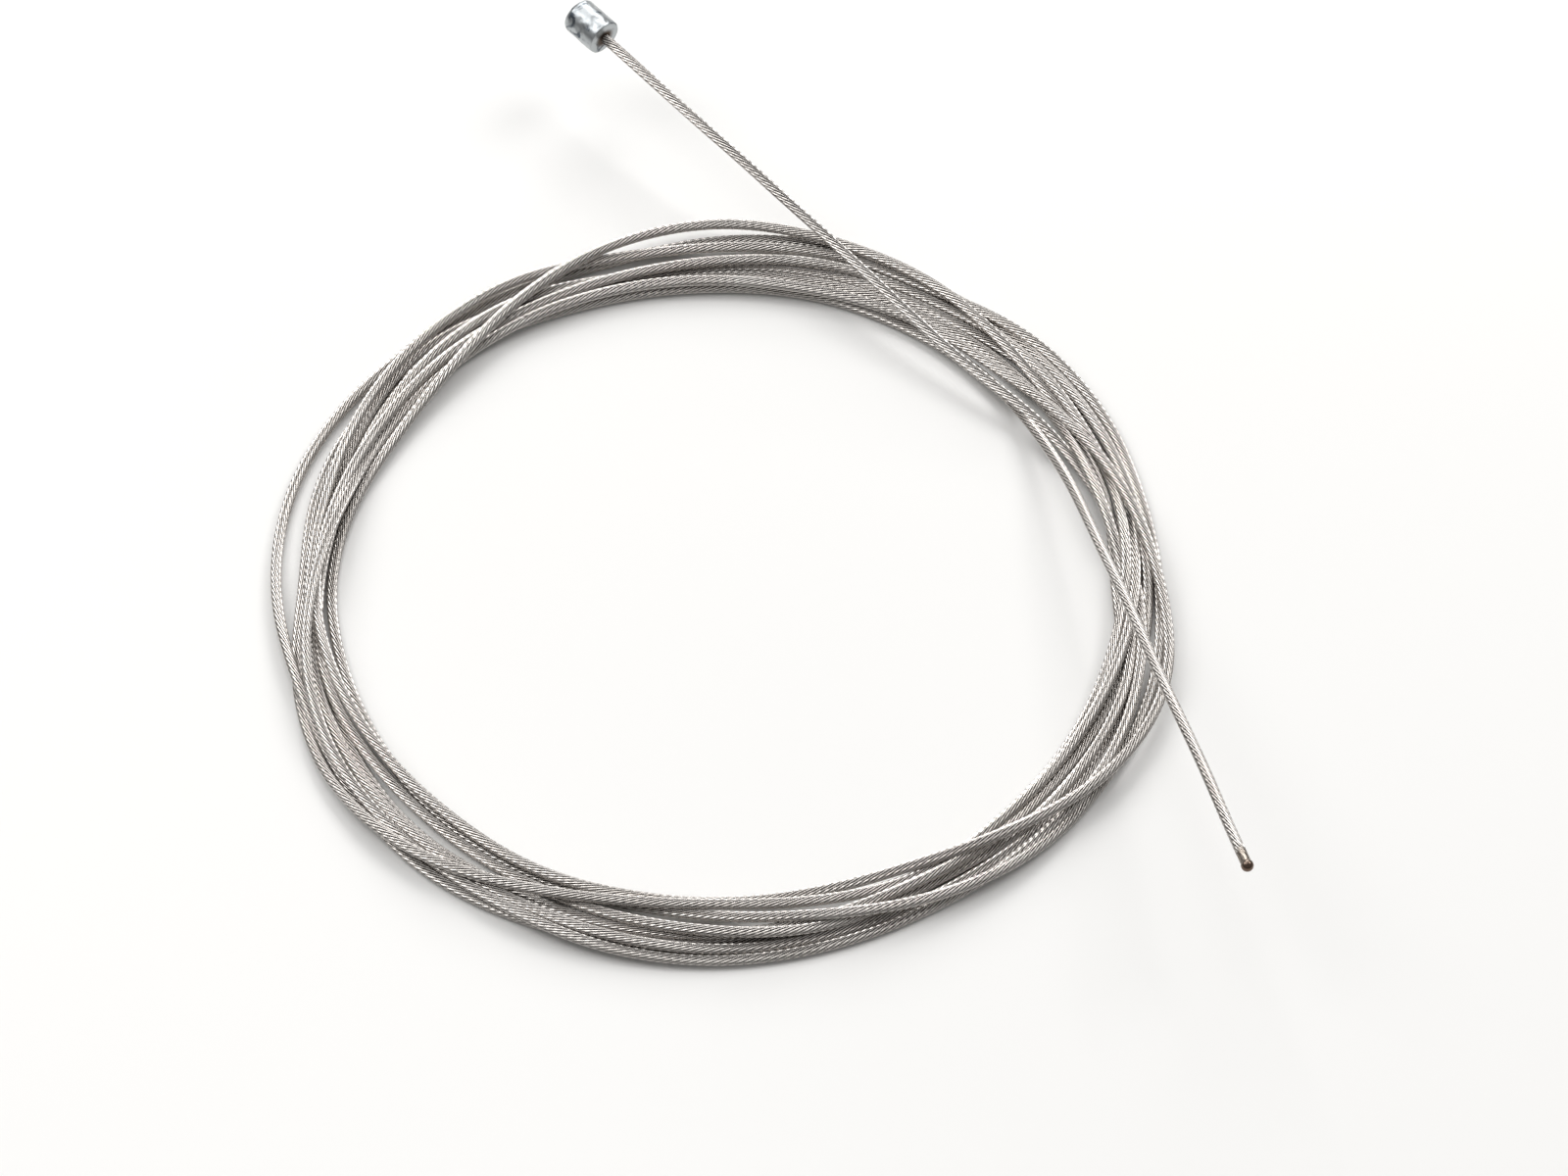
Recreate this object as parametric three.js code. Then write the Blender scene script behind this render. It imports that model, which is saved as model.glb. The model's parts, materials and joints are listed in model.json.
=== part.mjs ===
// A bicycle gear cable, loosely coiled as it lies on a table.
// Millimetres, with +Z up. The table is z = 0, and the cable's head points away from the viewer, towards +Y.
import * as THREE from 'three';

// Driving dimensions of the strand and of what is on its ends.
const strandAcross = 1.2;
const strandSides = 8;
const stepLength = 3;
const clearance = 0.3;

const headAcross = 4.25;
const headLength = 4.8;
const headRearRounding = 0.7;
const headFrontRounding = 0.15;
const headBoreDepth = 1.2;

const tipAcross = 1.35;
const tipNeckLength = 1.5;

// Driving dimensions of the coil: eight loose turns fill a ring with a flat underside.
const coilMiddleRadius = 44.95;
const bundleWidth = 7.9;
const bundleHeight = 4.2;
const bundleTopRounding = 1.9;
const bundleBottomRounding = 1;
const coilInnerRadius = coilMiddleRadius - bundleWidth / 2;
const coilOuterRadius = coilMiddleRadius + bundleWidth / 2;

// The round pieces are turned in this many steps.
const coilSteps = 64;
const headSteps = 32;
const tipSteps = 16;
const cornerSteps = 4;

// Middle line of each free stretch. A point is an angle about the middle of the coil, in degrees from +X,
// then how far it is outside the inner side of the turns, and how far above the top of them.
// The first stretch runs from the head's front face, over the turns, to the inner side of the coil.
const headTailRoute = [
  [101.2, 29.9, 6.3],
  [98.5, 24.9, 6.1],
  [96.2, 21.4, 5.7],
  [93.3, 17.7, 5.2],
  [90.0, 14.5, 4.5],
  [86.4, 11.5, 3.7],
  [82.4, 8.7, 2.8],
  [77.9, 6.3, 2.0],
  [72.3, 3.6, 1.3],
  [65.6, 1.1, 0.9],
  [60.5, -0.2, 0.4],
  [55.1, -1.1, -0.2],
  [49.6, -1.6, -0.6],
  [44.4, -1.6, -1.0],
  [40.6, -1.1, -1.3],
];

// The second leaves the inner side of the coil, passes over the turns and ends at the welded tip.
const tipTailRoute = [
  [32.5, -1.0, -1.5],
  [29.3, -1.3, -1.0],
  [24.6, -1.4, -0.4],
  [18.8, -1.4, 0.3],
  [11.6, -1.2, 1.2],
  [3.0, -0.2, 2.2],
  [-6.5, 2.3, 3.5],
  [-14.8, 5.5, 4.8],
  [-21.8, 9.6, 6.1],
  [-27.5, 14.3, 7.4],
  [-32.3, 19.4, 8.7],
  [-36.4, 24.6, 10.0],
  [-38.0, 27.2, 10.6],
];

// Points of a quarter circle in a turned profile, from one angle to another, in degrees.
function corner(centreRadius, centreHeight, rounding, fromAngle, toAngle) {
  const points = [];
  for (let step = 0; step <= cornerSteps; step += 1) {
    const angle = THREE.MathUtils.degToRad(THREE.MathUtils.lerp(fromAngle, toAngle, step / cornerSteps));
    const radius = centreRadius + rounding * Math.cos(angle);
    const height = centreHeight + rounding * Math.sin(angle);
    points.push(new THREE.Vector2(radius, height));
  }
  return points;
}

// The place of one point of a route, measured from the middle of the coil.
function placeOf([degrees, outside, above]) {
  const angle = THREE.MathUtils.degToRad(degrees);
  const radius = coilInnerRadius + outside;
  return new THREE.Vector3(radius * Math.cos(angle), radius * Math.sin(angle), bundleHeight + above);
}

// A smooth curve through places in space.
function curveThrough(places) {
  return new THREE.CatmullRomCurve3(places, false, 'centripetal');
}

// A straight-sided tube of the strand's size along a curve, closed at both ends.
function strandTube(curve) {
  const section = new THREE.Shape();
  const radius = strandAcross / 2;
  for (let side = 0; side < strandSides; side += 1) {
    const angle = (2 * Math.PI * side) / strandSides;
    if (side === 0) {
      section.moveTo(radius, 0);
    } else {
      section.lineTo(radius * Math.cos(angle), radius * Math.sin(angle));
    }
  }
  section.closePath();
  const steps = Math.round(curve.getLength() / stepLength);
  return new THREE.ExtrudeGeometry(section, { steps, extrudePath: curve, bevelEnabled: false });
}

// A piece turned about its own Z axis, from a profile of radius and height that goes anticlockwise.
function turned(profile, steps) {
  const geometry = new THREE.LatheGeometry(profile, steps);
  geometry.rotateX(Math.PI / 2);
  return geometry;
}

// Puts a piece's own +Z axis along a direction, with its origin at a place.
function aim(mesh, place, direction) {
  mesh.position.copy(place);
  mesh.quaternion.setFromUnitVectors(new THREE.Vector3(0, 0, 1), direction);
  return mesh;
}

const strandSteel = () => new THREE.MeshStandardMaterial({ color: '#a7a19a', roughness: 0.35, metalness: 1 });

// The eight turns together: a ring as wide and as high as the loose bundle, flat where it lies on the table.
function makeCoil() {
  const innerTop = coilInnerRadius + bundleTopRounding;
  const outerTop = coilOuterRadius - bundleTopRounding;
  const innerBottom = coilInnerRadius + bundleBottomRounding;
  const outerBottom = coilOuterRadius - bundleBottomRounding;
  const topCentre = bundleHeight - bundleTopRounding;
  const profile = [
    ...corner(outerBottom, bundleBottomRounding, bundleBottomRounding, -90, 0),
    ...corner(outerTop, topCentre, bundleTopRounding, 0, 90),
    ...corner(innerTop, topCentre, bundleTopRounding, 90, 180),
    ...corner(innerBottom, bundleBottomRounding, bundleBottomRounding, 180, 270),
  ];
  profile.push(profile[0].clone());
  const coil = new THREE.Mesh(turned(profile, coilSteps), strandSteel());
  coil.name = 'coil';
  return coil;
}

// The head: a cast barrel with its front face at its own origin and its front towards its own +Z.
// A clear bore in the front face takes the end of the strand.
function makeHead(route) {
  const radius = headAcross / 2;
  const boreRadius = strandAcross / 2 + clearance;
  const profile = [
    new THREE.Vector2(0, -headLength),
    ...corner(radius - headRearRounding, headRearRounding - headLength, headRearRounding, -90, 0),
    ...corner(radius - headFrontRounding, -headFrontRounding, headFrontRounding, 0, 90),
    new THREE.Vector2(boreRadius, 0),
    new THREE.Vector2(boreRadius, -headBoreDepth),
    new THREE.Vector2(0, -headBoreDepth),
  ];
  const material = new THREE.MeshStandardMaterial({ color: '#c3c6c8', roughness: 0.4, metalness: 1 });
  const head = new THREE.Mesh(turned(profile, headSteps), material);
  head.name = 'head';
  return aim(head, route.getPointAt(0), route.getTangentAt(0));
}

// The welded tip: a short neck of fused wires that ends in a bead, with the neck's end at its own origin.
function makeWeldedTip(route) {
  const neckRadius = strandAcross / 2;
  const beadRadius = tipAcross / 2;
  const joinAngle = -THREE.MathUtils.radToDeg(Math.acos(neckRadius / beadRadius));
  const profile = [
    new THREE.Vector2(0, 0),
    new THREE.Vector2(neckRadius, 0),
    ...corner(0, tipNeckLength, beadRadius, joinAngle, 90),
  ];
  profile[profile.length - 1].x = 0;
  const material = new THREE.MeshStandardMaterial({ color: '#8d857c', roughness: 0.3, metalness: 1 });
  const tip = new THREE.Mesh(turned(profile, tipSteps), material);
  tip.name = 'welded_tip';
  const direction = route.getTangentAt(1);
  const place = route.getPointAt(1).addScaledVector(direction, clearance);
  return aim(tip, place, direction);
}

// The stretch between the head and the coil starts inside the head's bore.
function makeHeadTail(route) {
  const direction = route.getTangentAt(0);
  const insideBore = route.getPointAt(0).addScaledVector(direction, clearance - headBoreDepth);
  const path = curveThrough([insideBore, ...headTailRoute.map(placeOf)]);
  const tail = new THREE.Mesh(strandTube(path), strandSteel());
  tail.name = 'head_tail';
  return tail;
}

// The straight stretch between the coil and the welded tip.
function makeTipTail(route) {
  const tail = new THREE.Mesh(strandTube(route), strandSteel());
  tail.name = 'tip_tail';
  return tail;
}

const headRoute = curveThrough(headTailRoute.map(placeOf));
const tipRoute = curveThrough(tipTailRoute.map(placeOf));

const shiftCable = new THREE.Group();
shiftCable.name = 'shift_cable';
shiftCable.add(makeHead(headRoute));
shiftCable.add(makeHeadTail(headRoute));
shiftCable.add(makeCoil());
shiftCable.add(makeTipTail(tipRoute));
shiftCable.add(makeWeldedTip(tipRoute));

// The part's origin is under the middle of its footprint.
const bounds = new THREE.Box3().setFromObject(shiftCable, true);
const middle = bounds.getCenter(new THREE.Vector3());
shiftCable.position.set(-middle.x, -middle.y, -bounds.min.z);

export default shiftCable;
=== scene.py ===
"""A bicycle gear cable, loosely coiled on a pale table."""
import json
import math

import bpy
import numpy as np
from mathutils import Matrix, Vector


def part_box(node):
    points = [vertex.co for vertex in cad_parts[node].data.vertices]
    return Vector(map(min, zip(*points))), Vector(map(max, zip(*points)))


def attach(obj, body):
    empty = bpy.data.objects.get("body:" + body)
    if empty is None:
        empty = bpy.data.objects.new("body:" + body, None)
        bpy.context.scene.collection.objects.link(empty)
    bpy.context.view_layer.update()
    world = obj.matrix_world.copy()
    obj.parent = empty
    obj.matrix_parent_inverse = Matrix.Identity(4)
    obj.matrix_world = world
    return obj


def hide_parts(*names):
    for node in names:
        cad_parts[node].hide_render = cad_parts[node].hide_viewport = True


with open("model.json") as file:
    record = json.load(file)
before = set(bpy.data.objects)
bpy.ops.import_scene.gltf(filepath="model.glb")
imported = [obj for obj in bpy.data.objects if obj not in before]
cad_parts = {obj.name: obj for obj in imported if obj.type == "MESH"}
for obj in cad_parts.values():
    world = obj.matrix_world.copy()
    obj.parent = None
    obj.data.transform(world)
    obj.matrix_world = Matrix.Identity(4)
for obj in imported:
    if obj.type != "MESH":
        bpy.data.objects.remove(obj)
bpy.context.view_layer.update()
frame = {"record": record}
scene = bpy.context.scene
scene.view_settings.view_transform = "Standard"

MM = 0.001
coil_low, coil_high = (np.array(corner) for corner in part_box("coil"))
coil_middle = (coil_low + coil_high) / 2
coil_middle[2] = 0.0

# The camera
# The photograph is taken with a long lens from the front, looking steeply down at the table.
# Its middle is a place on the table a little to the right of the middle of the coil and behind it.
PHOTO_WIDTH = 1600
CAMERA_ELEVATION = math.radians(55.5)
CAMERA_DISTANCE = 745 * MM
FOCAL_PIXELS = 7000
SENSOR_WIDTH = 36.0
NEAREST_SEEN = 0.05
FURTHEST_SEEN = 20.0
AIM_FROM_COIL = np.array([6.5, 1.4, 0.0]) * MM

camera_data = bpy.data.cameras.new("camera")
camera_data.sensor_fit = "HORIZONTAL"
camera_data.sensor_width = SENSOR_WIDTH
camera_data.lens = FOCAL_PIXELS / PHOTO_WIDTH * SENSOR_WIDTH
camera_data.clip_start = NEAREST_SEEN
camera_data.clip_end = FURTHEST_SEEN
camera = bpy.data.objects.new("camera", camera_data)
scene.collection.objects.link(camera)
aim = Vector(coil_middle + AIM_FROM_COIL)
back = Vector((0.0, -math.cos(CAMERA_ELEVATION), math.sin(CAMERA_ELEVATION)))
camera.location = aim + back * CAMERA_DISTANCE
camera.rotation_euler = back.to_track_quat("Z", "Y").to_euler()
scene.camera = camera

# The strand
# One length of stainless rope of the 1 x 19 kind: a core inside twelve outer wires that are laid round it.
# It is drawn and laid by machine, springs open when it is let go, and lies in eight loose turns.
STRAND_ACROSS = 1.2 * MM
OUTER_WIRES = 12
LAY_LENGTH = 10.2 * MM

# Each wire has this many points in a ring of the mesh, and the rings are this far apart.
WIRE_POINTS = 3
RING_STEP = 0.92 * MM

# The two free stretches, as in the solids: angle about the coil, then mm outside its inner side and above its top.
COIL_INNER_RADIUS = 41.0
COIL_TOP = 4.2
HEAD_STRETCH = [
    (101.2, 29.9, 6.3), (98.5, 24.9, 6.1), (96.2, 21.4, 5.7), (93.3, 17.7, 5.2), (90.0, 14.5, 4.5),
    (86.4, 11.5, 3.7), (82.4, 8.7, 2.8), (77.9, 6.3, 2.0), (72.3, 3.6, 1.3), (65.6, 1.1, 0.9),
    (60.5, -0.2, 0.4), (55.1, -1.1, -0.2), (49.6, -1.6, -0.6), (44.4, -1.6, -1.0), (40.6, -1.1, -1.3),
]
TIP_STRETCH = [
    (32.5, -1.0, -1.5), (29.3, -1.3, -1.0), (24.6, -1.4, -0.4), (18.8, -1.4, 0.3), (11.6, -1.2, 1.2),
    (3.0, -0.2, 2.2), (-6.5, 2.3, 3.5), (-14.8, 5.5, 4.8), (-21.8, 9.6, 6.1), (-27.5, 14.3, 7.4),
    (-32.3, 19.4, 8.7), (-36.4, 24.6, 10.0), (-38.0, 27.2, 10.6),
]

# The eight turns, each read clockwise from 45 degrees at every 15 degrees. First the radius in mm at which
# the turn is seen from the camera at two mm above the table, then how high it lies, in strands.
STATION_STEP = 15.0
FIRST_STATION = 45.0
TURN_RADII = [
    [40.6, 41.4, 43.0, 44.9, 46.2, 46.9, 46.5, 46.2, 46.7, 47.3, 47.2, 46.4,
     46.5, 46.8, 46.1, 44.6, 43.5, 42.9, 42.8, 42.7, 42.3, 41.8, 41.7, 42.0],
    [42.1, 44.0, 45.8, 47.4, 49.2, 47.4, 43.5, 40.8, 40.1, 40.2, 40.6, 41.1,
     41.2, 42.1, 43.3, 44.2, 43.7, 43.7, 44.0, 43.8, 44.0, 44.6, 45.5, 45.1],
    [45.6, 44.8, 44.5, 43.5, 42.6, 42.2, 42.0, 42.8, 44.0, 45.1, 46.3, 47.3,
     47.9, 47.3, 47.3, 48.7, 49.2, 48.6, 47.5, 46.6, 46.2, 47.5, 48.1, 47.0],
    [46.7, 46.4, 46.1, 45.9, 45.8, 45.8, 45.5, 45.3, 45.5, 45.9, 45.7, 45.5,
     45.6, 45.7, 45.1, 44.8, 45.2, 46.5, 47.6, 48.0, 46.6, 46.5, 47.1, 46.5],
    [47.8, 47.8, 47.1, 47.2, 47.9, 47.5, 46.9, 45.2, 42.8, 41.8, 41.6, 42.0,
     42.1, 42.1, 42.3, 42.7, 42.2, 41.5, 42.6, 45.5, 48.5, 49.8, 48.7, 47.3],
    [45.2, 44.0, 43.4, 42.5, 44.3, 43.6, 43.0, 42.6, 43.5, 44.4, 44.6, 44.6,
     45.3, 45.0, 44.5, 44.3, 44.3, 45.7, 46.6, 44.6, 42.5, 42.6, 42.9, 43.0],
    [43.3, 43.0, 42.9, 43.7, 45.1, 44.8, 44.4, 43.6, 44.2, 43.5, 43.2, 42.8,
     42.9, 43.6, 44.5, 44.3, 43.7, 44.4, 45.3, 45.3, 43.5, 43.6, 44.1, 44.0],
    [44.7, 46.0, 45.7, 44.6, 43.3, 42.4, 42.1, 42.5, 41.2, 40.2, 41.1, 43.7,
     47.0, 48.6, 47.5, 45.6, 46.4, 46.4, 44.5, 42.2, 41.3, 40.9, 41.0, 40.6],
]
TURN_LEVELS = [
    [2.0, 1.5, 0.0, 0.0, 1.0, 1.0, 1.0, 1.0, 1.0, 1.0, 1.0, 1.0,
     1.0, 2.0, 2.5, 2.5, 2.0, 1.0, 0.5, 0.5, 0.5, 0.5, 0.5, 0.5],
    [2.0, 3.0, 3.0, 2.5, 2.0, 3.0, 3.0, 1.0, 0.0, 0.0, 0.0, 0.5,
     1.0, 1.5, 1.5, 1.2, 1.0, 1.0, 1.0, 1.5, 1.5, 1.5, 1.5, 1.0],
    [1.5, 1.0, 1.2, 1.2, 0.3, 0.0, 0.0, 0.0, 0.0, 0.0, 0.0, 0.0,
     0.5, 1.5, 2.0, 1.5, 1.0, 0.5, 0.0, 0.0, 0.0, 0.5, 0.5, 0.5],
    [1.0, 1.0, 0.5, 0.5, 0.0, 0.5, 1.0, 1.0, 1.0, 1.0, 1.0, 1.0,
     1.0, 1.0, 1.0, 1.0, 1.2, 1.5, 1.5, 1.5, 1.0, 1.5, 1.5, 1.0],
    [1.0, 1.0, 1.0, 1.5, 1.0, 1.5, 2.0, 2.5, 2.5, 1.5, 1.0, 0.5,
     0.5, 0.5, 0.5, 1.0, 2.0, 2.5, 3.0, 3.0, 2.5, 2.0, 2.0, 2.0],
    [2.0, 0.6, 0.7, 0.0, 0.0, 0.5, 1.0, 1.0, 0.5, 0.0, 0.5, 0.5,
     0.5, 0.5, 0.5, 0.0, 0.0, 1.0, 0.5, 0.0, 0.0, 0.0, 0.0, 0.0],
    [0.5, 0.3, 0.7, 0.0, 0.3, 0.5, 0.5, 1.5, 1.0, 1.0, 1.0, 1.0,
     1.0, 1.0, 1.0, 0.5, 0.5, 0.5, 0.5, 0.3, 0.5, 0.5, 0.5, 0.5],
    [0.0, 0.5, 1.0, 1.2, 0.8, 0.5, 0.5, 0.0, 1.5, 1.5, 2.0, 2.5,
     2.0, 1.0, 0.5, 0.5, 0.5, 0.3, 0.0, 0.0, 0.0, 0.0, 0.0, 0.0],
]

# Seen from the camera, a point that is higher by one mm looks this many mm further away on the table.
SEEN_SHIFT = 1 / math.tan(CAMERA_ELEVATION)
# The height in mm for which the radii of the turns are given.
SEEN_HEIGHT = 2.0


def smooth_between(x, knots, values):
    """Cubic pieces through values at knots, with the slope at a knot taken from its two neighbours."""
    slopes = np.gradient(values, knots)
    place = np.clip(np.searchsorted(knots, x, side="right") - 1, 0, len(knots) - 2)
    gap = knots[place + 1] - knots[place]
    t = (x - knots[place]) / gap
    start = (1 + 2 * t) * (1 - t) ** 2 * values[place] + t * (1 - t) ** 2 * gap * slopes[place]
    end = t * t * (3 - 2 * t) * values[place + 1] + t * t * (t - 1) * gap * slopes[place + 1]
    return start + end


def stretch_as_seen(stretch, turns_before):
    """Angle travelled, seen radius and height of a free stretch's points, in degrees and mm."""
    degrees, outside, above = np.array(stretch).T
    angle = np.radians(degrees)
    radius = COIL_INNER_RADIUS + outside
    height = COIL_TOP + above
    x = radius * np.cos(angle)
    y = radius * np.sin(angle) + SEEN_SHIFT * (height - SEEN_HEIGHT)
    travelled = -np.degrees(np.arctan2(y, x)) + 360 * turns_before
    return travelled, np.hypot(x, y), height


def hann_weights(reach):
    """Weights for an average with reach samples on each side: a raised cosine that adds up to one."""
    weights = np.hanning(2 * reach + 3)[1:-1]
    return weights / weights.sum()


# The whole route as angle travelled clockwise, seen radius and height. Stations close to a free stretch
# are left out. A level is a little less than a strand, because strands lie partly between each other.
STATION_CLEARANCE = 3
LEVEL_STEP = 0.95
head_part = stretch_as_seen(HEAD_STRETCH, 0)
tip_part = stretch_as_seen(TIP_STRETCH, len(TURN_RADII))
station_count = len(TURN_RADII) * len(TURN_RADII[0])
stations = np.arange(station_count) * STATION_STEP - FIRST_STATION
head_end, tip_start = head_part[0][-1], tip_part[0][0]
between = (stations > head_end + STATION_CLEARANCE) & (stations < tip_start - STATION_CLEARANCE)
strand_mm = STRAND_ACROSS / MM
turn_radii = np.array(TURN_RADII).ravel()[between]
turn_heights = strand_mm * (0.5 + LEVEL_STEP * np.array(TURN_LEVELS).ravel()[between])
knots = np.concatenate([head_part[0], stations[between], tip_part[0]])
knot_radii = np.concatenate([head_part[1], turn_radii, tip_part[1]])
knot_heights = np.concatenate([head_part[2], turn_heights, tip_part[2]])

SAMPLES_PER_TURN = 288
sample_step = 360 / SAMPLES_PER_TURN
travelled = np.arange(knots[0], knots[-1] + sample_step / 2, sample_step)
travelled[-1] = knots[-1]
seen_radius = smooth_between(travelled, knots, knot_radii)
height = smooth_between(travelled, knots, knot_heights)
height = np.maximum(height, strand_mm / 2)
sine = np.sin(np.radians(-travelled))

# The turns settle: each sample slides along the line on which the camera sees it, sinks until it lies on
# the table or on another turn, and stays a strand away from the others. The rope is stiff, so in each step
# its heights and its moves to the side are drawn towards their own average over a short length.
SETTLING_STEPS = 1200
AVERAGED_WITH = 5
SMALLEST_GAP = 1e-6
# The sinking in mm, and the share of it that is lost by the last step.
SINK_PER_STEP = 0.01
SINK_SLOWED_BY = 0.8
# Shares that are made up in one step: of a lack of room between two turns, of the way to the average, of
# the lack that goes to the side, and of the way back to where the camera sees the turn.
PUSH_APART = 0.4
EASING = 0.3
SIDE_SHARE = 0.3
SIDE_RETURN = 0.02
average = hann_weights(AVERAGED_WITH)

# The free stretches keep their places: the settling fades in and out over some degrees beside them.
SETTLES_FROM = -66
SETTLES_UNTIL = 360 * len(TURN_RADII) - 20
FADES_OVER = 16
fading_in = np.clip((travelled - SETTLES_FROM) / FADES_OVER, 0, 1)
fading_out = np.clip((SETTLES_UNTIL - travelled) / FADES_OVER, 0, 1)
free = fading_in * fading_out
planned_height = height
side = np.zeros_like(height)
count = len(height)
for step in range(SETTLING_STEPS):
    sink = SINK_PER_STEP * (1 - SINK_SLOWED_BY * step / SETTLING_STEPS)
    lift = EASING * (np.convolve(height, average, "same") - height) - sink
    shove = EASING * (np.convolve(side, average, "same") - side) - SIDE_RETURN * side
    for turns_apart in range(1, len(TURN_RADII) + 1):
        offset = turns_apart * SAMPLES_PER_TURN
        if offset >= count:
            break
        first = slice(0, count - offset)
        second = slice(offset, count)
        radius = seen_radius + side - SEEN_SHIFT * (height - SEEN_HEIGHT) * sine
        across = radius[first] - radius[second]
        over = height[first] - height[second]
        apart = np.hypot(across, over) + SMALLEST_GAP
        lack = PUSH_APART * np.clip(strand_mm - apart, 0, None)
        lift[first] += lack * over / apart
        lift[second] -= lack * over / apart
        shove[first] += lack * across / apart * SIDE_SHARE
        shove[second] -= lack * across / apart * SIDE_SHARE
    height = np.maximum(height + free * lift, strand_mm / 2)
    side += free * shove

# What the settling changed is spread over a longer stretch, so that no bend is sharper than the rope can take.
SPREAD_WITH = 9
spread = hann_weights(SPREAD_WITH)
side = np.convolve(side, spread, "same")
height = planned_height + np.convolve(height - planned_height, spread, "same")
height = np.maximum(height, strand_mm / 2)

# Places in space, then even steps along the length. The strand starts this many mm inside the head.
STRAND_IN_HEAD = 0.8
angle = np.radians(-travelled)
seen_x = (seen_radius + side) * np.cos(angle)
seen_y = (seen_radius + side) * np.sin(angle)
route = np.stack([seen_x, seen_y - SEEN_SHIFT * (height - SEEN_HEIGHT), height], axis=1)
head_direction = route[1] - route[0]
head_direction /= np.linalg.norm(head_direction)
head_place = coil_middle + route[0] * MM
route = np.vstack([route[0] - head_direction * STRAND_IN_HEAD, route])
lengths = np.concatenate([[0], np.cumsum(np.linalg.norm(np.diff(route, axis=0), axis=1))])
strand_length = lengths[-1] * MM
ring_count = int(strand_length / RING_STEP) + 1
along = np.linspace(0, lengths[-1], ring_count)
path = np.stack([smooth_between(along, lengths, route[:, axis]) for axis in range(3)], axis=1)
path = coil_middle + path * MM

# The rope is too stiff for short waves: each place on the path is averaged with those up to 7 mm away.
STIFF_OVER = 7 * MM
reach = round(STIFF_OVER / RING_STEP)
stiff = hann_weights(reach)
longer_path = np.pad(path, ((reach, reach), (0, 0)), mode="reflect", reflect_type="odd")
path = np.stack([np.convolve(longer_path[:, axis], stiff, "valid") for axis in range(3)], axis=1)


def frames_along(points):
    """Two directions across a path at each point, carried along it so that they don't spin."""
    forward = np.gradient(points, axis=0)
    forward /= np.linalg.norm(forward, axis=1)[:, None]
    first = np.zeros_like(points)
    start = np.cross(forward[0], (0.0, 0.0, 1.0))
    first[0] = start / np.linalg.norm(start)
    for index in range(1, len(points)):
        carried = first[index - 1] - forward[index] * np.dot(first[index - 1], forward[index])
        first[index] = carried / np.linalg.norm(carried)
    return first, np.cross(forward, first)


def laid_rope(points, step, across, wires, points_per_wire, lay):
    """Rings round a path. A ring is the outline of touching round wires. At an angle from the middle of
    a wire its radius has two parts. The first is the radius of the wires' middles times the angle's cosine.
    The second is the square root of the wire's radius squared less the square of the radius of the wires'
    middles times the angle's sine. The ring makes one turn in each lay length."""
    half_wire = math.pi / wires
    middle_radius = across / 2 / (1 + math.sin(half_wire))
    wire_radius = middle_radius * math.sin(half_wire)
    from_middle = np.linspace(-half_wire, half_wire, points_per_wire, endpoint=False)
    under_root = np.clip(wire_radius ** 2 - (middle_radius * np.sin(from_middle)) ** 2, 0, None)
    wire_outline = middle_radius * np.cos(from_middle) + np.sqrt(under_root)
    ring_angle = (np.arange(wires)[:, None] * 2 * half_wire + from_middle).ravel()
    outline = np.tile(wire_outline, wires)
    twist = -2 * math.pi * np.arange(len(points)) * step / lay
    turn = ring_angle[None, :] + twist[:, None]
    first, second = frames_along(points)
    ring = first[:, None, :] * np.cos(turn)[..., None] + second[:, None, :] * np.sin(turn)[..., None]
    return points[:, None, :] + ring * outline[None, :, None]


def tube_mesh(name, rings, wires=1, lays=1.0):
    """A closed mesh object from rings of points: four-sided faces between rings and one face on each end.
    Its UV map counts wires round the tube and lay lengths along it."""
    ring_total, around = rings.shape[:2]
    index = np.arange(ring_total * around).reshape(ring_total, around)
    here, there = index[:-1], index[1:]
    faces = np.stack([here, np.roll(here, -1, 1), np.roll(there, -1, 1), there], axis=-1).reshape(-1, 4)
    ends = [index[0][::-1].tolist(), index[-1].tolist()]
    mesh = bpy.data.meshes.new(name)
    mesh.from_pydata(rings.reshape(-1, 3).tolist(), [], faces.tolist() + ends)
    column, row = np.meshgrid(np.arange(around), np.arange(ring_total - 1))
    corners_u = np.stack([column, column + 1, column + 1, column], axis=-1) * wires / around
    corners_v = np.stack([row, row, row + 1, row + 1], axis=-1) * lays / (ring_total - 1)
    corners = np.stack([corners_u, corners_v], axis=-1).reshape(-1, 2)
    corners = np.vstack([corners, np.zeros((2 * around, 2))])
    mesh.uv_layers.new(name="wires").data.foreach_set("uv", corners.ravel().astype(np.float32))
    mesh.shade_smooth()
    piece = bpy.data.objects.new(name, mesh)
    scene.collection.objects.link(piece)
    return piece


strand_step = strand_length / (ring_count - 1)
strand_rings = laid_rope(path, strand_step, STRAND_ACROSS, OUTER_WIRES, WIRE_POINTS, LAY_LENGTH)
strand = tube_mesh("strand", strand_rings, OUTER_WIRES, strand_length / LAY_LENGTH)


def linear(hex_colour):
    """An sRGB hex colour as linear RGBA."""
    parts = [int(hex_colour[i:i + 2], 16) / 255 for i in (1, 3, 5)]
    return tuple(c / 12.92 if c <= 0.04045 else ((c + 0.055) / 1.055) ** 2.4 for c in parts) + (1.0,)


def add_node(tree, kind, settings=None, inputs=None):
    """Adds one node. Settings are its own properties; an input is a value or another node's output."""
    node = tree.nodes.new(kind)
    for key, value in (settings or {}).items():
        setattr(node, key, value)
    for key, value in (inputs or {}).items():
        if isinstance(value, bpy.types.NodeSocket):
            tree.links.new(value, node.inputs[key])
        else:
            node.inputs[key].default_value = value
    return node


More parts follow.
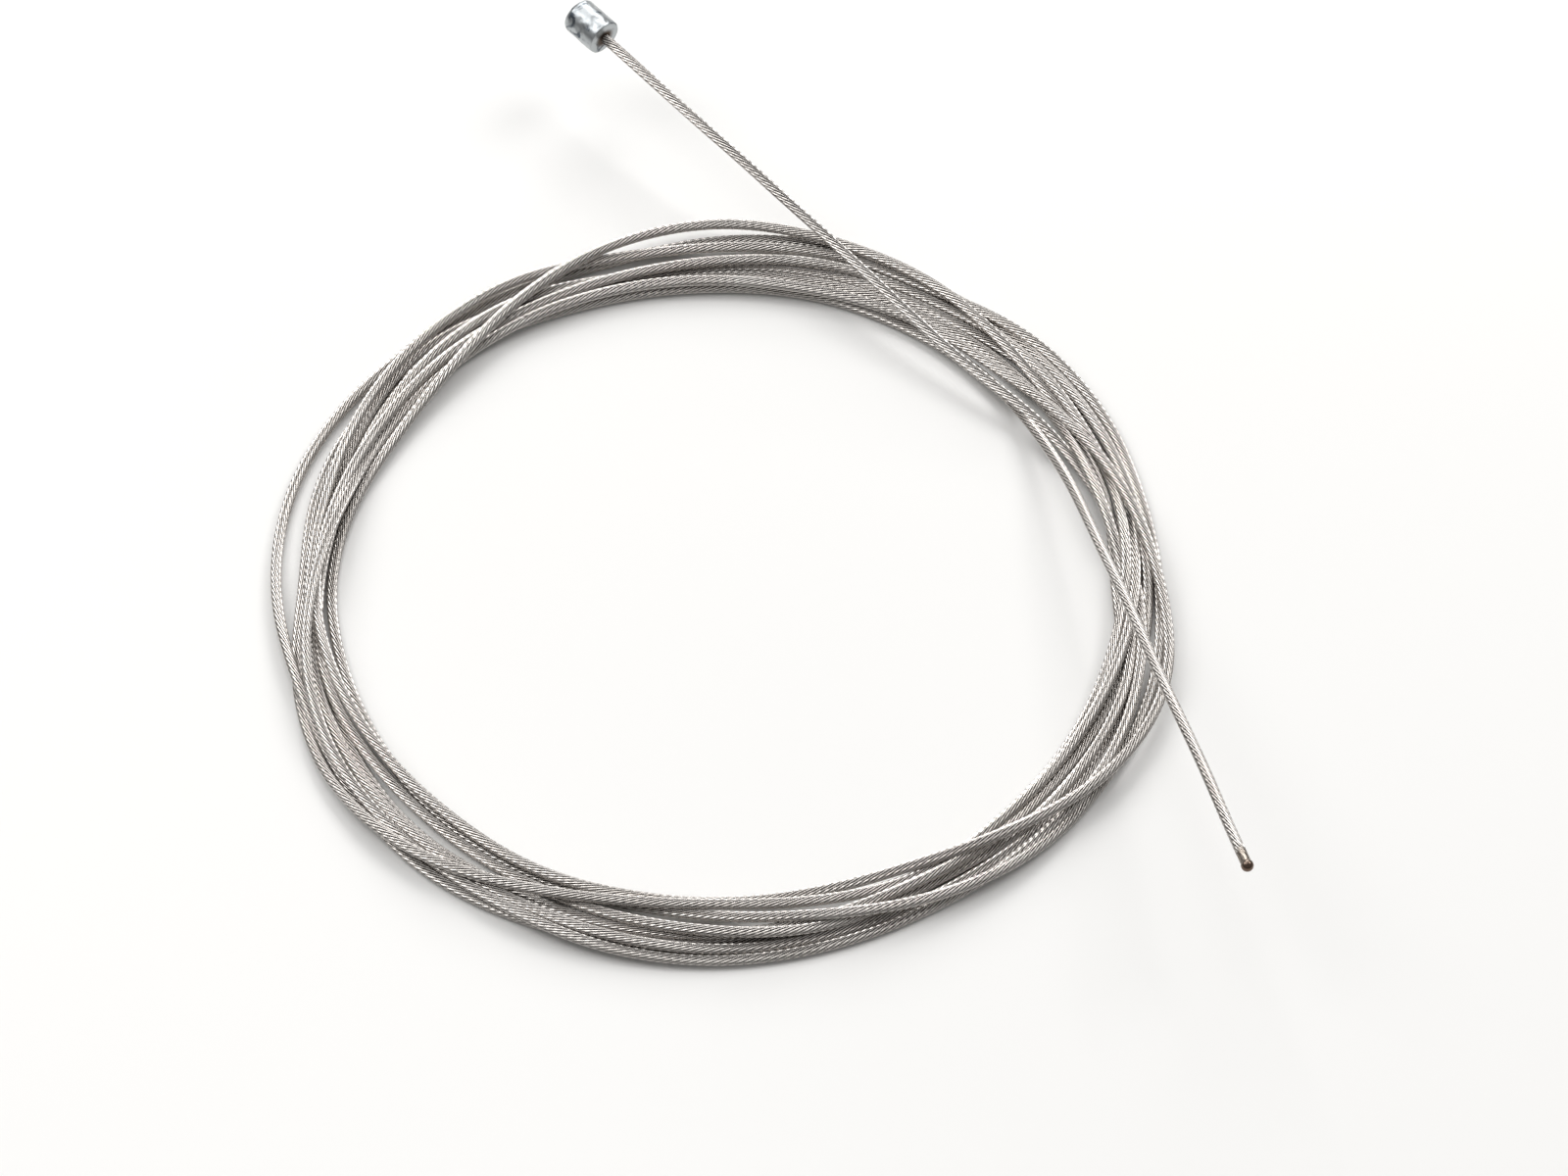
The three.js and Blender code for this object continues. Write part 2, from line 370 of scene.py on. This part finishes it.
def new_finish(name):
    """An empty material and its node tree, with only the output left in it."""
    finish = bpy.data.materials.new(name)
    finish.use_nodes = True
    tree = finish.node_tree
    for node in list(tree.nodes):
        if node.type != "OUTPUT_MATERIAL":
            tree.nodes.remove(node)
    return finish, tree, tree.nodes["Material Output"]


# Drawn stainless wire: bright metal with a warm grey cast, smooth along the wire. The hollows between the
# wires catch no light, and that shade is painted into the colour as a dark brown, so each wire shows as a bright
# line beside a dark one.
WIRE_RELIEF = 0.1 * MM
PATCH_SIZE = 6 * MM
CREST_GREY = "#c9c3bd"
CREST_BRIGHT = "#dedad6"
# Painted shade: the colour that the hollows between the wires are darkened to.
HOLLOW_PAINTED_SHADE = "#3f3732"
STEEL_SMOOTHEST = 0.2
STEEL_ROUGHEST = 0.32
# The painted shade in the hollows starts and is full at these squares of the distance from the crest, which is 0
# to 1.
HOLLOW_SHADE_STARTS = 0.12
HOLLOW_SHADE_FULL = 0.8
drawn_steel, tree, output = new_finish("drawn_stainless_wire")
wire_map = add_node(tree, "ShaderNodeUVMap", {"uv_map": "wires"})
wire_number = add_node(tree, "ShaderNodeSeparateXYZ", inputs={"Vector": wire_map.outputs["UV"]})
across_wire = add_node(tree, "ShaderNodeMath", {"operation": "FRACT"}, {0: wire_number.outputs["X"]})
from_crest = add_node(tree, "ShaderNodeMath", {"operation": "MULTIPLY_ADD"}, {
    0: across_wire.outputs["Value"], 1: 2.0, 2: -1.0})
squared = add_node(tree, "ShaderNodeMath", {"operation": "MULTIPLY"}, {
    0: from_crest.outputs["Value"], 1: from_crest.outputs["Value"]})
under_round = add_node(tree, "ShaderNodeMath", {"operation": "SUBTRACT", "use_clamp": True}, {
    0: 1.0, 1: squared.outputs["Value"]})
wire_round = add_node(tree, "ShaderNodeMath", {"operation": "SQRT"}, {0: under_round.outputs["Value"]})
# Painted shade: how far each point lies in a hollow between two wires, and so how much it is darkened.
painted_hollow_shade = add_node(tree, "ShaderNodeMapRange", {"interpolation_type": "SMOOTHSTEP"}, {
    "Value": squared.outputs["Value"], "From Min": HOLLOW_SHADE_STARTS, "From Max": HOLLOW_SHADE_FULL})
coordinates = add_node(tree, "ShaderNodeTexCoord")
patches = add_node(tree, "ShaderNodeTexNoise", inputs={
    "Vector": coordinates.outputs["Object"], "Scale": 1 / PATCH_SIZE, "Detail": 3.0})
crest_colour = add_node(tree, "ShaderNodeMix", {"data_type": "RGBA"}, {
    "Factor": patches.outputs["Fac"], "A": linear(CREST_GREY), "B": linear(CREST_BRIGHT)})
# The crest colour with the painted shade of the hollows mixed in.
steel_colour_and_shade = add_node(tree, "ShaderNodeMix", {"data_type": "RGBA"}, {
    "Factor": painted_hollow_shade.outputs["Result"], "A": crest_colour.outputs["Result"], "B": linear(HOLLOW_PAINTED_SHADE)})
steel_roughness = add_node(tree, "ShaderNodeMapRange", inputs={
    "Value": patches.outputs["Fac"], "To Min": STEEL_SMOOTHEST, "To Max": STEEL_ROUGHEST})
wire_bump = add_node(tree, "ShaderNodeBump", inputs={
    "Strength": 1.0, "Distance": WIRE_RELIEF, "Height": wire_round.outputs["Value"]})
steel = add_node(tree, "ShaderNodeBsdfPrincipled", inputs={
    "Base Color": steel_colour_and_shade.outputs["Result"], "Metallic": 1.0,
    "Roughness": steel_roughness.outputs["Result"], "Normal": wire_bump.outputs["Normal"]})
tree.links.new(steel.outputs["BSDF"], output.inputs["Surface"])
strand.data.materials.append(drawn_steel)

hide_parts("head_tail", "coil", "tip_tail")
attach(strand, "root")

# The head
# A barrel of zinc, 4.25 mm across and 4.8 mm long, cast round the splayed end of the strand in a small die.
# The die leaves it bright but uneven, with a rounded rear edge, shallow dents and a dark flash of oozed
# metal where the strand comes out of its flat front face.
HEAD_ACROSS = 4.25 * MM
HEAD_LENGTH = 4.8 * MM
REAR_ROUNDING = 0.7 * MM
FRONT_ROUNDING = 0.15 * MM
FLASH_ACROSS = 2.3 * MM
FLASH_HEIGHT = 0.45 * MM
FLASH_TOP_RADIUS = 0.45 * MM
FLASH_CURVE = 1.6
DENT_DEPTH = 0.06 * MM
HEAD_STEPS_ROUND = 192

# Steps along the profile, from the middle of the rear to the top of the flash.
POLE_RADIUS = 0.02 * MM
REAR_STEPS = 8
REAR_EDGE_STEPS = 12
SIDE_STEPS = 24
FRONT_EDGE_STEPS = 6
FACE_STEPS = 8
FLASH_STEPS = 12

# The head points the way that the mount on its front face does.
head_front = next(mount for mount in frame["record"]["mounts"] if mount["name"] == "head_front")
head_axis = np.array(head_front["axis"], float)
head_axis /= np.linalg.norm(head_axis)


def arc(centre, rounding, from_degrees, to_degrees, steps):
    """Points (radius, height) of an arc round a centre."""
    turn = np.radians(np.linspace(from_degrees, to_degrees, steps))
    return np.stack([centre[0] + rounding * np.cos(turn), centre[1] + rounding * np.sin(turn)], axis=1)


def turned_rings(profile, steps, place, axis, level_side):
    """Rings of a profile of radius and height that is turned round an axis from a place."""
    turn = np.linspace(0, 2 * math.pi, steps, endpoint=False)
    other_side = np.cross(axis, level_side)
    spoke = level_side[None, :] * np.cos(turn)[:, None] + other_side[None, :] * np.sin(turn)[:, None]
    return place + profile[:, None, 0:1] * spoke[None] + profile[:, None, 1:2] * axis, turn


def outward(rings, place, axis):
    """Directions of length one, from the axis through a place to each point of the rings."""
    spoke = rings - (place + ((rings - place) @ axis)[..., None] * axis)
    return spoke / np.maximum(np.linalg.norm(spoke, axis=-1, keepdims=True), 1e-9)


head_radius = HEAD_ACROSS / 2
flash_radius = FLASH_ACROSS / 2
rear_edge_radius = head_radius - REAR_ROUNDING
front_edge_radius = head_radius - FRONT_ROUNDING
rear_radii = np.linspace(POLE_RADIUS, rear_edge_radius, REAR_STEPS, endpoint=False)
side_heights = np.linspace(REAR_ROUNDING - HEAD_LENGTH, -FRONT_ROUNDING, SIDE_STEPS + 2)[1:-1]
face_radii = np.linspace(front_edge_radius, flash_radius, FACE_STEPS)[1:]
flash_radii = np.linspace(flash_radius, FLASH_TOP_RADIUS, FLASH_STEPS)[1:]
up_flash = np.linspace(0, 1, FLASH_STEPS)[1:]
head_profile = np.vstack([
    np.stack([rear_radii, np.full_like(rear_radii, -HEAD_LENGTH)], axis=1),
    arc((rear_edge_radius, REAR_ROUNDING - HEAD_LENGTH), REAR_ROUNDING, -90, 0, REAR_EDGE_STEPS),
    np.stack([np.full_like(side_heights, head_radius), side_heights], axis=1),
    arc((front_edge_radius, -FRONT_ROUNDING), FRONT_ROUNDING, 0, 90, FRONT_EDGE_STEPS),
    np.stack([face_radii, np.zeros_like(face_radii)], axis=1),
    np.stack([flash_radii, FLASH_HEIGHT * up_flash ** FLASH_CURVE], axis=1),
])
level_side = np.cross((0.0, 0.0, 1.0), head_axis)
level_side /= np.linalg.norm(level_side)
head_rings, turn = turned_rings(head_profile, HEAD_STEPS_ROUND, head_place, head_axis, level_side)

# Dents are the hollows of the sum of a few waves, only inwards. A wave is its height, how many go round,
# how far it turns in a mm along the head, and where it starts. The sum at which a dent is deepest follows.
DENT_WAVES = [(1.0, 2, 1.9, 0.6), (0.8, 5, -2.7, 2.0), (0.6, 9, 4.1, 0.0), (0.5, 13, -6.3, 1.1)]
DEEPEST_AT = 2.2
along_head = head_profile[:, 1][:, None]
waves = sum(size * np.sin(number * turn + slant * along_head / MM + start)
            for size, number, slant, start in DENT_WAVES)
dent = np.clip(waves / DEEPEST_AT, 0, 1) * DENT_DEPTH
on_side = np.clip((head_profile[:, 0][:, None] - flash_radius) / (head_radius - flash_radius), 0, 1)
head_rings = head_rings - outward(head_rings, head_place, head_axis) * (dent * on_side)[..., None]

# The flash stands up unevenly round the strand: a share of its height, and waves as above without a slant.
FLASH_SHARE = 0.55
FLASH_WAVES = [(0.3, 1, 2.4), (0.15, 3, 0.4)]
on_flash = np.clip(along_head / FLASH_HEIGHT, 0, 1)
uneven = FLASH_SHARE + sum(size * np.sin(number * turn + start) for size, number, start in FLASH_WAVES)
head_rings -= (FLASH_HEIGHT * on_flash * (1 - uneven))[..., None] * head_axis
head = tube_mesh("head_cast", head_rings)

# Die-cast zinc: bright bluish white metal, cloudy where it chilled against the die, and brown where it oozed
# along the strand.
CLOUD_SIZE = 1.6 * MM
PIT_SIZE = 0.5 * MM
PIT_DEPTH = 0.04 * MM
PIT_STRENGTH = 0.5
ZINC_SMOOTHEST = 0.25
ZINC_ROUGHEST = 0.5
ZINC_BRIGHT = "#b4b8ba"
ZINC_DARK = "#50575f"
FLASH_BROWN = "#4a3f36"
# The dark clouds start and are full at these values of the noise.
CLOUD_STARTS = 0.52
CLOUD_FULL = 0.68
# The brown starts and is full at these distances from the middle of the front face.
BROWN_STARTS = 1.5 * MM
BROWN_FULL = 0.8 * MM
die_cast_zinc, tree, output = new_finish("die_cast_zinc")
coordinates = add_node(tree, "ShaderNodeTexCoord")
clouds = add_node(tree, "ShaderNodeTexNoise", inputs={
    "Vector": coordinates.outputs["Object"], "Scale": 1 / CLOUD_SIZE, "Detail": 4.0, "Distortion": 0.8})
dark_cloud = add_node(tree, "ShaderNodeMapRange", {"interpolation_type": "SMOOTHSTEP"}, {
    "Value": clouds.outputs["Fac"], "From Min": CLOUD_STARTS, "From Max": CLOUD_FULL})
zinc_colour = add_node(tree, "ShaderNodeMix", {"data_type": "RGBA"}, {
    "Factor": dark_cloud.outputs["Result"], "A": linear(ZINC_BRIGHT), "B": linear(ZINC_DARK)})
front_distance = add_node(tree, "ShaderNodeVectorMath", {"operation": "DISTANCE"}, {
    0: coordinates.outputs["Object"], 1: tuple(head_place)})
near_strand = add_node(tree, "ShaderNodeMapRange", {"interpolation_type": "SMOOTHSTEP"}, {
    "Value": front_distance.outputs["Value"], "From Min": BROWN_STARTS, "From Max": BROWN_FULL})
zinc_and_flash = add_node(tree, "ShaderNodeMix", {"data_type": "RGBA"}, {
    "Factor": near_strand.outputs["Result"], "A": zinc_colour.outputs["Result"], "B": linear(FLASH_BROWN)})
pits = add_node(tree, "ShaderNodeTexNoise", inputs={
    "Vector": coordinates.outputs["Object"], "Scale": 1 / PIT_SIZE, "Detail": 3.0})
zinc_bump = add_node(tree, "ShaderNodeBump", inputs={
    "Strength": PIT_STRENGTH, "Distance": PIT_DEPTH, "Height": pits.outputs["Fac"]})
zinc_roughness = add_node(tree, "ShaderNodeMapRange", inputs={
    "Value": clouds.outputs["Fac"], "To Min": ZINC_SMOOTHEST, "To Max": ZINC_ROUGHEST})
zinc = add_node(tree, "ShaderNodeBsdfPrincipled", inputs={
    "Base Color": zinc_and_flash.outputs["Result"], "Metallic": 1.0,
    "Roughness": zinc_roughness.outputs["Result"], "Normal": zinc_bump.outputs["Normal"]})
tree.links.new(zinc.outputs["BSDF"], output.inputs["Surface"])
head.data.materials.append(die_cast_zinc)
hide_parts("head")
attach(head, "root")

# The welded tip
# The end of the strand is cut with a current that fuses its wires: they run together over the last two mm
# and end in a bead that is a little wider than the strand. Heat leaves the bead brown.
TIP_ACROSS = 1.35 * MM
NECK_LENGTH = 1.5 * MM
NECK_OVERLAP = 0.5 * MM
PAST_STRAND = 0.3 * MM
END_FACE_RADIUS = 0.3 * MM
# The neck is this share of the strand's width, and its straight part this share of its length.
NECK_SHARE = 0.97
NECK_STRAIGHT_SHARE = 0.7
NECK_STEPS = 20
BEAD_STEPS = 24
BEAD_LAST_ANGLE = 89
TIP_STEPS_ROUND = 96
tip_axis = path[-1] - path[-3]
tip_axis /= np.linalg.norm(tip_axis)
tip_place = path[-1] + PAST_STRAND * tip_axis
bead_radius = TIP_ACROSS / 2
neck_radius = STRAND_ACROSS / 2 * NECK_SHARE
neck_start = -PAST_STRAND - NECK_OVERLAP
neck_heights = np.linspace(neck_start, NECK_LENGTH * NECK_STRAIGHT_SHARE, NECK_STEPS)
join_angle = math.degrees(math.acos(neck_radius / bead_radius))
tip_profile = np.vstack([
    [(END_FACE_RADIUS, neck_start)],
    np.stack([np.full_like(neck_heights, neck_radius), neck_heights], axis=1),
    arc((0.0, NECK_LENGTH), bead_radius, -join_angle, BEAD_LAST_ANGLE, BEAD_STEPS),
])
tip_side = np.cross(tip_axis, (0.0, 0.0, 1.0))
tip_side /= np.linalg.norm(tip_side)
tip_rings, turn = turned_rings(tip_profile, TIP_STEPS_ROUND, tip_place, tip_axis, tip_side)

# Traces of the laid wires fade out along the neck.
TRACE_DEPTH = 0.04 * MM
TRACE_LENGTH = 0.9 * MM
up_neck = tip_profile[:, 1][:, None]
laid_turn = OUTER_WIRES * (turn + 2 * math.pi * up_neck / LAY_LENGTH)
trace = TRACE_DEPTH * np.clip(1 - up_neck / TRACE_LENGTH, 0, 1) * (1 - np.cos(laid_turn)) / 2
tip_rings = tip_rings - outward(tip_rings, tip_place, tip_axis) * trace[..., None]
tip = tube_mesh("tip_bead", tip_rings)

# Fused steel: smooth, duller than the drawn wires, and browned towards the end, where it was hottest.
SCALE_SIZE = 0.5 * MM
FUSED_DARK = "#8a8178"
FUSED_PALE = "#a39a90"
HEAT_BROWN = "#6e5d52"
FUSED_ROUGHNESS = 0.28
# The heat's brown starts and is full at these distances from the end of the bead.
HEAT_STARTS = 1.5 * MM
HEAT_FULL = 0.6 * MM
fused_steel, tree, output = new_finish("fused_steel")
coordinates = add_node(tree, "ShaderNodeTexCoord")
bead_middle = tip_place + NECK_LENGTH * tip_axis
end_distance = add_node(tree, "ShaderNodeVectorMath", {"operation": "DISTANCE"}, {
    0: coordinates.outputs["Object"], 1: tuple(bead_middle + bead_radius * tip_axis)})
heated = add_node(tree, "ShaderNodeMapRange", {"interpolation_type": "SMOOTHSTEP"}, {
    "Value": end_distance.outputs["Value"], "From Min": HEAT_STARTS, "From Max": HEAT_FULL})
scale_patches = add_node(tree, "ShaderNodeTexNoise", inputs={
    "Vector": coordinates.outputs["Object"], "Scale": 1 / SCALE_SIZE, "Detail": 2.0})
steel_tint = add_node(tree, "ShaderNodeMix", {"data_type": "RGBA"}, {
    "Factor": scale_patches.outputs["Fac"], "A": linear(FUSED_DARK), "B": linear(FUSED_PALE)})
heat_tint = add_node(tree, "ShaderNodeMix", {"data_type": "RGBA"}, {
    "Factor": heated.outputs["Result"], "A": steel_tint.outputs["Result"], "B": linear(HEAT_BROWN)})
fused = add_node(tree, "ShaderNodeBsdfPrincipled", inputs={
    "Base Color": heat_tint.outputs["Result"], "Metallic": 1.0, "Roughness": FUSED_ROUGHNESS})
tree.links.new(fused.outputs["BSDF"], output.inputs["Surface"])
tip.data.materials.append(fused_steel)
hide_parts("welded_tip")
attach(tip, "root")

# The table
# A sheet of white laminate pressed on board: smooth, and glossy enough for a faint mirror image.
TABLE_REACH = 1.6
LAMINATE_WHITE = "#f7f6f4"
LAMINATE_ROUGHNESS = 0.16
LAMINATE_GLOSS = 0.35
table_mesh = bpy.data.meshes.new("table")
table_corners = [(-TABLE_REACH, -TABLE_REACH, 0), (TABLE_REACH, -TABLE_REACH, 0),
                 (TABLE_REACH, TABLE_REACH, 0), (-TABLE_REACH, TABLE_REACH, 0)]
table_mesh.from_pydata(table_corners, [], [(0, 1, 2, 3)])
table = bpy.data.objects.new("table", table_mesh)
scene.collection.objects.link(table)
white_laminate, tree, output = new_finish("white_laminate")
laminate = add_node(tree, "ShaderNodeBsdfPrincipled", inputs={
    "Base Color": linear(LAMINATE_WHITE), "Roughness": LAMINATE_ROUGHNESS,
    "Specular IOR Level": LAMINATE_GLOSS})
tree.links.new(laminate.outputs["BSDF"], output.inputs["Surface"])
table.data.materials.append(white_laminate)

# The lamps
# Four square softboxes: behind the coil to its left and to its right, low and straight behind it, and
# nearly overhead. The room itself is dark at the horizon and paler above.
ROOM_AT_HORIZON = 0.05
ROOM_ABOVE = 0.3
# The sines of the heights between which the room grows paler.
PALER_FROM = 0.03
PALER_UNTIL = 0.4
LAMP_DISTANCE = 1.8
# Name, direction from the coil, width in metres and power in watts.
SOFTBOXES = [
    ("left_lamp", (-14.2, 6.1, 15), 0.9, 9.5),
    ("right_lamp", (10.7, 6.7, 13), 0.7, 9.0),
    ("back_lamp", (0, 10, 6), 1.1, 16.5),
    ("overhead_lamp", (-3, 3, 11), 1.3, 7.0),
]

world = bpy.data.worlds.new("studio")
scene.world = world
world.use_nodes = True
tree = world.node_tree
background = tree.nodes["Background"]
direction = add_node(tree, "ShaderNodeTexCoord")
direction_parts = add_node(tree, "ShaderNodeSeparateXYZ", inputs={"Vector": direction.outputs["Generated"]})
room_light = add_node(tree, "ShaderNodeMapRange", {"interpolation_type": "SMOOTHSTEP"}, {
    "Value": direction_parts.outputs["Z"], "From Min": PALER_FROM, "From Max": PALER_UNTIL,
    "To Min": ROOM_AT_HORIZON, "To Max": ROOM_ABOVE})
tree.links.new(room_light.outputs["Result"], background.inputs["Strength"])
background.inputs["Color"].default_value = (1, 1, 1, 1)

for name, lamp_direction, width, power in SOFTBOXES:
    lamp_data = bpy.data.lights.new(name, "AREA")
    lamp_data.shape = "SQUARE"
    lamp_data.size = width
    lamp_data.energy = power
    lamp = bpy.data.objects.new(name, lamp_data)
    scene.collection.objects.link(lamp)
    away = Vector(lamp_direction).normalized()
    lamp.location = Vector(coil_middle) + away * LAMP_DISTANCE
    lamp.rotation_euler = away.to_track_quat("Z", "Y").to_euler()
